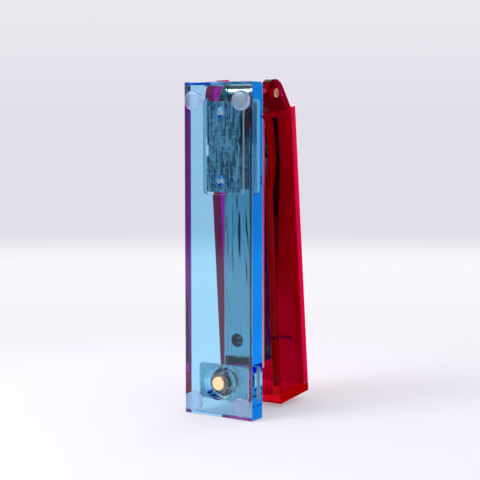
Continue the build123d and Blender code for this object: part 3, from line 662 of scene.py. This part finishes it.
class StaplerWire(bpy.types.PropertyGroup):
    """Springs, staples and the painted highlight along the magazine's top edge."""

    anvil_turns: FloatProperty(name="Anvil turns", description="Turns of the anvil spring", default=2.4)
    anvil_seat: FloatProperty(
        name="Anvil seat", description="Turns of the flat end of the anvil spring", default=0.6)
    anvil_wire: length("Anvil wire", "Wire of the anvil spring", 0.6)
    anvil_low: length("Anvil low radius", "Coil radius at the clip", 4.2)
    pusher_turns: FloatProperty(name="Pusher turns", description="Turns of the pusher spring", default=30.0)
    pusher_wire: length("Pusher wire", "Wire of the pusher spring", 0.5)
    return_wire: length("Return wire", "Wire of the return spring", 0.7)
    return_radius: length("Return radius", "Coil radius on the hinge pin", 3.25)
    return_turns: FloatProperty(
        name="Return turns", description="Turns of the return spring", default=2.25)
    staple_pitch: length("Staple pitch", "Width of one staple along the strip", 0.5)
    staple_wire: length("Staple wire", "Height of the staple wire", 0.5)
    # The glint settings place a painted highlight on the magazine's right side, below its top edge
    glint_rear: length("Lip rear", "Rear end of the magazine's coppery lip", 58)
    glint_low: length("Lip low", "Lower edge of that lip", 28.6)
    glint_depth: length("Lip depth", "Depth of that lip from the magazine's side", 0.2)


# Operators

class STAPLER_OT_base(bpy.types.Operator):
    """Build the clear blue base slab and its bumper feet"""

    bl_idname = "stapler.base"
    bl_label = "Build base slab"

    def execute(self, context):
        size = context.scene.stapler_base
        blue = cast_acrylic(
            "cast_acrylic_blue_polished", tint=BLUE_DYE, density=105.0, marks=0.03,
            milled=self.milled(size), satin=0.5)
        slab = merged(NODES["base_slab"].data)
        points = read(slab.vertices, "co", np.float32, 3)
        for seat in (FLANGE_UNDER, ANVIL_UNDER):
            points[np.abs(points[:, 2] - seat) < AIR / 4, 2] -= AIR
        slab.vertices.foreach_set("co", points.ravel())
        new_piece("base_block", slab, blue, "base", "blue_acrylic", "base_slab")

        low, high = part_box("rubber_feet")
        radius, rim = size.foot_radius, size.foot_rim
        ends, sides = (low.x + radius, high.x - radius), (low.y + radius, high.y - radius)
        spots = np.array([(x, y, 0) for x in ends for y in sides])
        top = high.z - AIR
        dome = arc((radius - rim, low.z + rim), rim, -90, 0, 12)
        sole, crown = (radius * 0.4, low.z), (radius * 0.5, top)
        profile = np.vstack(((0, low.z), sole, dome, (radius, top), crown, (0, top)))
        silicone = bumper_silicone("silicone_bumper_milky")
        feet = lathe("bumper_feet", profile, spots)
        new_piece("bumper_feet", feet, silicone, "base", "clear_bumper", "rubber_feet")
        return {"FINISHED"}

    def milled(self, size):
        """Boxes round the walls of both pockets, clear of floors and top face, and round the screw holes."""
        top = BASE_TOP - size.skin
        boxes = (
            (size.pocket, FLANGE_UNDER + 2 * size.skin, top),
            (size.pocket, size.hole_low, FLANGE_UNDER - 2 * size.skin),
            (size.recess, ANVIL_UNDER + size.skin, top),
        )
        return [
            (Vector((front, -half, low)), Vector((rear, half, high)))
            for (front, rear, half), low, high in boxes]


class STAPLER_OT_hinge(bpy.types.Operator):
    """Finish the bracket, its screws, the pin, sleeve and spacer, and wind the return spring"""

    bl_idname = "stapler.hinge"
    bl_label = "Finish hinge"

    def execute(self, context):
        size = context.scene.stapler_wire
        bare_above = FLANGE_UNDER + 1.1 * MM
        plated = glued_steel("zinc_plated_steel_glued", linear("#3C4A55"), linear("#B4BEC4"), bare_above)
        dress(plated, "hinge_bracket")
        screw = steel("zinc_plated_screw", linear("#CBD2D6"), rough=(0.12, 0.25), cells=(0.6, 0.6, 3))
        dress(screw, "bracket_screws")
        chrome = steel(
            "chrome_plate_turned", linear("#F0D2C0"), rough=(0.03, 0.1), cells=(3, 0.3, 3), depth=0.004)
        dress(chrome, "hinge_sleeve")
        gold = turned_gold("gold_plate_pin", linear("#F0CB93"), PIVOT, axis_scale=(1, 0, 1), metal=1.0)
        dress(gold, "hinge_pin")
        nylon = moulded_plastic(
            "nylon_natural_moulded", linear("#E6E2D8"), rough=(0.35, 0.5), grit=0.4, glow=0.6)
        dress(nylon, "hinge_spacer")

        spring = steel("spring_steel_drawn", linear("#E4E2DE"), rough=(0.12, 0.26), cells=(2, 2, 2))
        path = self.return_path(size)
        coiled = wire("return_coil", path, size.return_wire / 2)
        new_piece("return_coil", coiled, spring, "base", "spring_steel", "return_spring")
        return {"FINISHED"}

    def return_path(self, size):
        """A leg up from the slab, turns round the pin, a leg ahead and a hook across the magazine."""
        low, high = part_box("return_spring")
        radius, half = size.return_radius, size.return_wire / 2
        near, far = low.y + half, high.y - half
        ahead, up, across = np.array((-1.0, 0, 0)), np.array((0, 0, 1.0)), np.array((0, 1.0, 0))
        middle = np.array((PIVOT.x, near, PIVOT.z))
        foot = middle - ahead * radius
        foot[2] = low.z + AIR
        leg = np.linspace(foot, middle - ahead * radius, 12)
        winding = coil(middle, (radius, radius), far - near, size.return_turns, (-ahead, up, across))
        reach = PIVOT.x - low.x - size.return_wire
        toe = winding[-1] + ahead * reach
        hook = toe - across * (far - near - size.return_wire)
        bend = np.linspace(toe, hook, 6)
        return np.vstack((leg[:-1], winding, np.linspace(winding[-1], toe, 12)[1:], bend[1:]))


class STAPLER_OT_anvil(bpy.types.Operator):
    """Finish the anvil plate, its button and clip, and wind its spring"""

    bl_idname = "stapler.anvil"
    bl_label = "Finish anvil"

    def execute(self, context):
        size = context.scene.stapler_wire
        stamped = steel(
            "stamped_steel_tumbled", linear("#D8DAD6"), rough=(0.2, 0.45), cells=(1.2, 1.2, 1.2),
            depth=0.05, wave=(5, 5, 5, 0.1))
        dress(stamped, "anvil_plate")
        gold = turned_gold(
            "gold_plate_button", linear("#FDDFAC"), BUTTON_AXIS, axis_scale=(1, 1, 0), metal=0.3)
        dress(gold, "anvil_button")
        spring = steel("spring_steel_dark", linear("#83868C"), rough=(0.14, 0.3), cells=(2, 2, 2))
        dress(spring, "anvil_clip")

        low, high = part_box("anvil_spring")
        half = size.anvil_wire / 2
        top = (high.x - low.x) / 2 - half
        rise = high.z - low.z - 2 * half
        seat_rise = 0.1 * half
        centre = (BUTTON_AXIS.x, BUTTON_AXIS.y, high.z - half)
        axes = ((1, 0, 0), (0, -1, 0), (0, 0, -1))
        seat = coil(centre, (top, top), seat_rise, size.anvil_seat, axes, -math.tau * size.anvil_seat)
        start = (centre[0], centre[1], seat[-1, 2])
        cone = coil(start, (top, size.anvil_low), rise - seat_rise, size.anvil_turns, axes)
        coiled = wire("anvil_coil", np.vstack((seat[:-1], cone)), half)
        piece = new_piece("anvil_coil", coiled, spring, "base", "spring_steel", "anvil_spring")
        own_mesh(piece)
        return {"FINISHED"}


class STAPLER_OT_magazine(bpy.types.Operator):
    """Finish the magazine, rail and pusher, lay out the staples and wind the pusher spring"""

    bl_idname = "stapler.magazine"
    bl_label = "Finish magazine"

    def execute(self, context):
        size = context.scene.stapler_wire
        low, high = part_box("magazine_channel")
        # Painted highlight: a matt peach band along the top edge of the magazine's right side
        lip = (
            Vector((low.x - AIR, high.y - size.glint_depth, size.glint_low)),
            Vector((size.glint_rear, high.y + AIR, high.z + AIR)),
            linear("#FFE2CC"))
        nickel = steel(
            "nickel_plated_steel", linear("#C6C5C2"), rough=(0.04, 0.1), cells=(25, 0.5, 0.5),
            wave=(45, 5, 5, 0.8), lip=lip)
        dress(nickel, "magazine_channel", "nose_plate")
        rail = steel("cold_rolled_steel", linear("#2E3136"), rough=(0.15, 0.3), cells=(20, 0.4, 0.4))
        dress(rail, "staple_rail", "pusher_rod")
        black = moulded_plastic("abs_black_moulded", linear("#16161A"), rough=(0.3, 0.5), grit=0.3)
        dress(black, "pusher")

        low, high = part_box("pusher_spring")
        half = size.pusher_wire / 2
        radius = (high.y - low.y) / 2 - half
        middle = (low + high) / 2
        centre = (low.x + half, middle.y, middle.z)
        axes = ((0, 1, 0), (0, 0, 1), (1, 0, 0))
        path = coil(
            centre, (radius, radius), high.x - low.x - 2 * half, size.pusher_turns, axes, per_turn=20)
        spring = steel("spring_steel_bright", linear("#BFC3C8"), rough=(0.12, 0.25), cells=(2, 2, 2))
        mesh = wire("pusher_coil", path, half)
        piece = new_piece("pusher_coil", mesh, spring, None, "spring_steel", "pusher_spring")
        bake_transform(piece)
        self.staples(size)
        return {"FINISHED"}

    def staples(self, size):
        """A row of U wires: a rounded wire section carried over legs and crown, repeated along X."""
        low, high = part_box("staple_strip")
        count = round((high.x - low.x) / size.staple_pitch)
        thick = size.staple_wire
        corner = thick * 0.9
        half_width, crown = (high.y - low.y) / 2 - thick / 2, high.z - thick / 2
        left = arc((-half_width + corner, crown - corner), corner, 180, 90, 5)
        right = arc((half_width - corner, crown - corner), corner, 90, 0, 5)
        path = np.vstack(((-half_width, low.z), left, right, (half_width, low.z)))
        along = np.gradient(path, axis=0)
        along /= np.linalg.norm(along, axis=1)[:, None]
        out = np.column_stack((-along[:, 1], along[:, 0]))
        # Wire section: a square rounded by the fourth-power norm, a little narrower than the pitch
        sides = 8
        angles = np.linspace(0, math.tau, sides, endpoint=False) + math.tau / sides / 2
        square = np.column_stack((np.cos(angles), np.sin(angles)))
        square /= (np.abs(square) ** 4).sum(axis=1)[:, None] ** 0.25
        across = square[:, 0] * size.staple_pitch * 0.47
        lift = square[:, 1] * thick / 2
        loop = path[:, None] + out[:, None] * lift[None, :, None]
        rows = len(path)
        one = np.concatenate((np.broadcast_to(across[None, :, None], (rows, sides, 1)), loop), axis=-1)
        index = np.arange(rows * sides).reshape(rows, sides)
        turned = np.roll(index, -1, axis=1)
        quads = np.stack((index[:-1], index[1:], turned[1:], turned[:-1]), axis=-1).reshape(-1, 4)
        caps = np.vstack((index[0], index[-1][::-1]))
        spots = np.zeros((count, 3))
        spots[:, 0] = low.x + (np.arange(count) + 0.5) * (high.x - low.x) / count
        mesh = repeated("staples", one.reshape(-1, 3), (quads, caps), spots)
        zinc = steel("galvanised_staple_wire", linear("#C9CCCF"), rough=(0.18, 0.32), cells=(0.5, 2, 2))
        new_piece("staples", sharpen(mesh, 60), zinc, "magazine", "staple_wire", "staple_strip")


class STAPLER_OT_handle(bpy.types.Operator):
    """Build the red box handle and finish the driver inside it"""

    bl_idname = "stapler.handle"
    bl_label = "Build handle"

    def execute(self, context):
        size = context.scene.stapler_handle
        low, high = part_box("handle_top_plate")
        half = (high.y - low.y) / 2
        wall_low, wall_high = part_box("handle_right_wall")
        sheet = wall_high.y - wall_low.y
        outside, cavity, plate, hollow = self.profiles(size, sheet)
        cosine, sine = math.cos(size.tilt), math.sin(size.tilt)
        turn = np.array(((-cosine, sine), (sine, cosine)))
        origin = np.array((PIVOT.x, PIVOT.z))
        cutters = [
            prism("cavity", cavity @ turn + origin, sheet - half, half - sheet),
            prism("bore", circle(origin, size.pin_hole / 2, sides=60), -half - PAST, half + PAST),
        ]
        shell = self.cut(prism("outside", outside @ turn + origin, -half, half), cutters, size.edge)
        red = red_acrylic_painted_shade("cast_acrylic_red_polished", size, turn, (half - sheet, sheet), hollow)
        new_piece(
            "handle_box", shell, red, "handle", "red_acrylic",
            "handle_left_wall", "handle_right_wall", "handle_front_wall")
        top = self.cut(prism("plate", plate @ turn + origin, -half, half), [], size.edge)
        opal = opal_acrylic("opal_acrylic_magenta", linear("#EE0450"))
        new_piece("handle_top", top, opal, "handle", "red_acrylic", "handle_top_plate")

        leaf = steel("spring_steel_blued", linear("#8E9298"), rough=(0.15, 0.3), cells=(15, 0.5, 0.5))
        dress(leaf, "driver_leaf")
        tool = steel("ground_tool_steel", linear("#A9ADB2"), rough=(0.12, 0.28), cells=(1, 1, 8))
        dress(tool, "driver_blade", "cross_pin")
        screw = steel("zinc_plated_small_screw", linear("#C4CACE"), rough=(0.15, 0.3), cells=(1, 1, 1))
        dress(screw, "leaf_screws")
        return {"FINISHED"}

    def profiles(self, size, sheet):
        """Side outlines of the box, of its cavity and of the top plate, and the circle of the hollow."""
        slope = (size.top_front - size.top_rear) / (size.front - size.plate_rear)
        inner = size.front - sheet

        def joint(distance):
            """Height of the plate's joint at a distance from the pivot."""
            return size.top_rear + slope * (distance - size.plate_rear)

        lobe = np.array((size.lobe_ahead, -size.lobe_drop))
        slant = np.array((size.plate_rear, size.top_rear)) - lobe
        touch = math.degrees(math.atan2(slant[1], slant[0]) + math.acos(size.lobe / np.hypot(*slant)))
        relief_angle = math.degrees(math.asin((size.low + size.lobe_drop) / size.lobe))
        ear = arc(lobe, size.lobe, touch, 360 + relief_angle, 120)
        half_chord = (size.relief_end - ear[-1, 0]) / 2
        radius = (half_chord ** 2 + size.relief_depth ** 2) / (2 * size.relief_depth)
        centre = (ear[-1, 0] + half_chord, size.low + size.relief_depth - radius)
        start = math.degrees(math.atan2(size.low - centre[1], -half_chord))
        hollow = arc(centre, radius, start, 180 - start, 40)
        corners = [
            (size.front, size.low),
            (size.front, joint(size.front) + sheet),
            (inner, joint(inner) + sheet),
            (inner, joint(inner) + AIR),
            (size.plate_rear, size.top_rear + AIR),
        ]
        outside = np.vstack((ear, hollow[1:], corners))
        cavity = np.array([
            (-PAST, size.low - PAST),
            (inner, size.low - PAST),
            (inner, joint(inner) + PAST),
            (-PAST, joint(-PAST) + PAST),
        ])
        plate = np.array([
            (inner + AIR, joint(inner)),
            (inner + AIR, joint(inner) + sheet),
            (size.plate_rear, size.top_rear + sheet),
            (size.plate_rear, size.top_rear),
        ])
        return outside, cavity, plate, (centre, radius)

    def cut(self, mesh, cutters, edge):
        """A mesh less its cutters, with a narrow polished break on every edge."""
        names = [mesh.name]
        body = bpy.data.objects.new(mesh.name, mesh)
        bpy.context.scene.collection.objects.link(body)
        for cutter in cutters:
            names.append(cutter.name)
            tool = bpy.data.objects.new(cutter.name, cutter)
            bpy.context.scene.collection.objects.link(tool)
            step = body.modifiers.new(cutter.name, "BOOLEAN")
            step.operation = "DIFFERENCE"
            step.solver = "EXACT"
            step.object = tool
        step = body.modifiers.new("edge", "BEVEL")
        step.width = edge
        step.segments = 2
        step.limit_method = "ANGLE"
        step.angle_limit = math.radians(30)
        bpy.context.view_layer.update()
        made = evaluated(body)
        for name in names:
            bpy.data.objects.remove(bpy.data.objects[name])
        return sharpen(made, 10)


class STAPLER_OT_stage(bpy.types.Operator):
    """Set up the camera, the pale paper studio round the stapler and its soft lamps"""

    bl_idname = "stapler.stage"
    bl_label = "Build studio"

    def execute(self, context):
        studio = context.scene.stapler_studio
        scene = context.scene
        scene.view_settings.view_transform = "Standard"
        scene.cycles.max_bounces = 24
        scene.cycles.transmission_bounces = 24
        scene.cycles.glossy_bounces = 16
        scene.cycles.transparent_max_bounces = 24

        level = math.cos(studio.pitch)
        back = Vector((0, -math.sin(studio.yaw), math.cos(studio.yaw)))
        right = Vector((0, math.cos(studio.yaw), math.sin(studio.yaw)))
        forward = back * level + Vector((-math.sin(studio.pitch), 0, 0))
        data = bpy.data.cameras.new("camera")
        data.lens = studio.lens
        data.sensor_width = 36
        data.clip_end = 20
        camera = bpy.data.objects.new("camera", data)
        place = Matrix((right, right.cross(forward), -forward)).transposed().to_4x4()
        place.translation = Vector(studio.aim) - forward * studio.distance
        camera.matrix_world = place
        scene.collection.objects.link(camera)
        scene.camera = camera
        self.paper(studio, back, right)
        # Places and sides of the softboxes, in metres: one up to the left, one over the desk
        left = Vector((0.4, 0, 0)) - back * 0.28 - right * 0.55
        self.lamp("left_softbox", left, 0.5, studio.side_key)
        self.lamp("desk_softbox", Vector((0.1, -0.1, 0.65)), 0.6, studio.key)
        self.floors(studio)
        return {"FINISHED"}

    def paper(self, studio, back, right):
        """World: a pale paper sweep for the eye and through glass, and a dark room for reflections."""
        world = bpy.data.worlds.new("studio")
        bpy.context.scene.world = world
        world.use_nodes = True
        tree = world.node_tree
        tree.nodes.clear()
        way = add(tree, "ShaderNodeTexCoord").outputs["Generated"]
        ways = {
            "height": add(tree, SPLIT, {0: way}).outputs["X"],
            "behind": add(tree, VECTOR, {0: way, 1: back}, operation="DOT_PRODUCT"),
            "beside": add(tree, VECTOR, {0: way, 1: right}, operation="DOT_PRODUCT"),
        }

        def zone(edges):
            """One inside all the soft edges and nought outside them."""
            steps = []
            for name, start, end in edges:
                links = {"Value": ways[name], "From Min": start, "From Max": end}
                steps.append(add(tree, RANGE, links, interpolation_type="SMOOTHSTEP"))
            return fold(tree, "MULTIPLY", steps)

        floor = add(tree, MIX, {
            0: zone(FLOOR_FADE), FROM: tuple(studio.floor), TO: linear("#F9F7FC")}, data_type="RGBA")
        wall = add(tree, MIX, {
            0: zone(WALL_FADE), FROM: tuple(studio.wall), TO: linear("#EAE7EF")}, data_type="RGBA")
        sweep = add(tree, MIX, {0: zone(HORIZON), FROM: floor, TO: wall}, data_type="RGBA")
        flags = add(tree, MATH, {0: zone(FRONT_FLAG), 1: zone(RIGHT_FLAG)}, operation="MAXIMUM")

        rays = add(tree, "ShaderNodeLightPath").outputs
        seen = rays["Is Camera Ray"]
        clear = add(tree, MATH, {0: seen, 1: rays["Is Transmission Ray"]}, operation="MAXIMUM")
        unflagged = add(tree, MATH, {0: 1.0, 1: flags}, operation="SUBTRACT")
        through = add(tree, MATH, {0: unflagged, 1: seen}, operation="MAXIMUM")
        dim = add(tree, MATH, {0: zone(UPPER_ROOM), 1: 0.2}, operation="MULTIPLY")
        bright = [zone(edges) for edges in (CEILING_BAND, LOWER_ROOM, LEFT_FLOOR, BACKDROP)]
        gloss = fold(tree, "MAXIMUM", [dim, *bright])
        lit = add(tree, MIX, {"Factor": clear, "A": gloss, "B": through}, data_type="FLOAT")
        tone = add(tree, MIX, {0: lit, FROM: linear("#0C0C10"), TO: sweep}, data_type="RGBA")
        sharp = add(tree, MATH, {0: clear, 1: rays["Is Glossy Ray"]}, operation="MAXIMUM")
        fill = add(tree, "ShaderNodeBackground", {"Color": linear("#F4F4FA"), "Strength": studio.fill})
        room = add(tree, "ShaderNodeBackground", {"Color": tone})
        mix = add(tree, "ShaderNodeMixShader", {0: sharp, 1: fill, 2: room})
        add(tree, "ShaderNodeOutputWorld", {"Surface": mix})

    def lamp(self, name, place, side, power):
        """A square softbox aimed at the middle of the stapler, seen only in gloss and light."""
        data = bpy.data.lights.new(name, "AREA")
        data.size = side
        data.energy = power
        lamp = bpy.data.objects.new(name, data)
        lamp.location = place
        lamp.rotation_mode = "QUATERNION"
        lamp.rotation_quaternion = place.to_track_quat("Z", "Y")
        lamp.visible_camera = False
        lamp.visible_transmission = False
        bpy.context.scene.collection.objects.link(lamp)

    def floors(self, studio):
        """Two pale discs that fade at the rim: one under the upright end, one under the feet."""
        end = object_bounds()[0].x
        middle = 20 * MM
        upright = Matrix(((0, 0, 1, end - AIR), (0, 1, 0, 0), (-1, 0, 0, middle), (0, 0, 0, 1)))
        flat = Matrix.Translation((0, 0, -AIR))
        sides = 96
        solid, gone, radius = studio.floor_rings
        points = np.column_stack((circle((0, 0), radius, sides), np.zeros(sides)))
        for name, place in (("paper_floor", upright), ("desk_floor", flat)):
            mesh = bpy.data.meshes.new(name)
            mesh.from_pydata(points, [], [range(sides)])
            mesh.transform(place)
            paper = self.floor_paper(name + "_paper", studio.floor, place.translation, (solid, gone))
            mesh.materials.append(paper)
            disc = bpy.data.objects.new(name, mesh)
            bpy.context.scene.collection.objects.link(disc)
            disc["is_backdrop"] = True
            disc.visible_glossy = False
            if name == "desk_floor":
                disc.visible_diffuse = False
                disc.visible_transmission = False
                disc.visible_shadow = False

    def floor_paper(self, name, colour, centre, fade):
        """Matt studio paper that fades out from its middle and is clear from behind."""
        material, tree, place = start_material(name)
        away = add(tree, VECTOR, {0: place, 1: centre}, operation="DISTANCE")
        faded = add(tree, RANGE, {
            "Value": away, "From Min": fade[0], "From Max": fade[1]}, interpolation_type="SMOOTHSTEP")
        reverse = add(tree, "ShaderNodeNewGeometry").outputs["Backfacing"]
        hidden = add(tree, MATH, {0: faded, 1: reverse}, operation="MAXIMUM")
        fibre = grain(tree, place, (2, 2, 2))
        tone = add(tree, MIX, {0: fibre, FROM: tuple(colour), TO: linear("#F6F4FA")}, data_type="RGBA")
        matt = add(tree, "ShaderNodeBsdfDiffuse", {"Color": tone})
        glow = add(tree, "ShaderNodeEmission", {"Color": tone})
        rays = add(tree, "ShaderNodeLightPath").outputs
        seen = add(tree, MATH, {
            0: rays["Is Camera Ray"], 1: rays["Is Transmission Ray"]}, operation="MAXIMUM")
        glow_share = add(tree, MATH, {0: seen, 1: 0.35}, operation="MULTIPLY")
        lit = add(tree, "ShaderNodeMixShader", {0: glow_share, 1: matt, 2: glow})
        clear = add(tree, "ShaderNodeBsdfTransparent")
        return end_material(material, add(tree, "ShaderNodeMixShader", {0: hidden, 1: lit, 2: clear}))


class STAPLER_PT_panel(bpy.types.Panel):
    """Lists the steps that build the stapler"""

    bl_idname = "STAPLER_PT_panel"
    bl_label = "Stapler"
    bl_space_type = "VIEW_3D"
    bl_region_type = "UI"
    bl_category = "Stapler"

    def draw(self, context):
        for step in STEPS:
            self.layout.operator(step.bl_idname)


STEPS = (
    STAPLER_OT_base,
    STAPLER_OT_hinge,
    STAPLER_OT_anvil,
    STAPLER_OT_magazine,
    STAPLER_OT_handle,
    STAPLER_OT_stage,
)
GROUPS = {
    "stapler_studio": StaplerStudio,
    "stapler_base": StaplerBase,
    "stapler_handle": StaplerHandle,
    "stapler_wire": StaplerWire,
}


def register():
    for kind in tuple(GROUPS.values()) + STEPS + (STAPLER_PT_panel,):
        bpy.utils.register_class(kind)
    for name, group in GROUPS.items():
        setattr(bpy.types.Scene, name, PointerProperty(type=group))


def unregister():
    for name in GROUPS:
        delattr(bpy.types.Scene, name)
    for kind in (STAPLER_PT_panel,) + STEPS + tuple(GROUPS.values()):
        bpy.utils.unregister_class(kind)


def main():
    register()
    bpy.ops.stapler.base()
    bpy.ops.stapler.hinge()
    bpy.ops.stapler.anvil()
    bpy.ops.stapler.magazine()
    bpy.ops.stapler.handle()
    bpy.ops.stapler.stage()


if __name__ == "__main__":
    main()
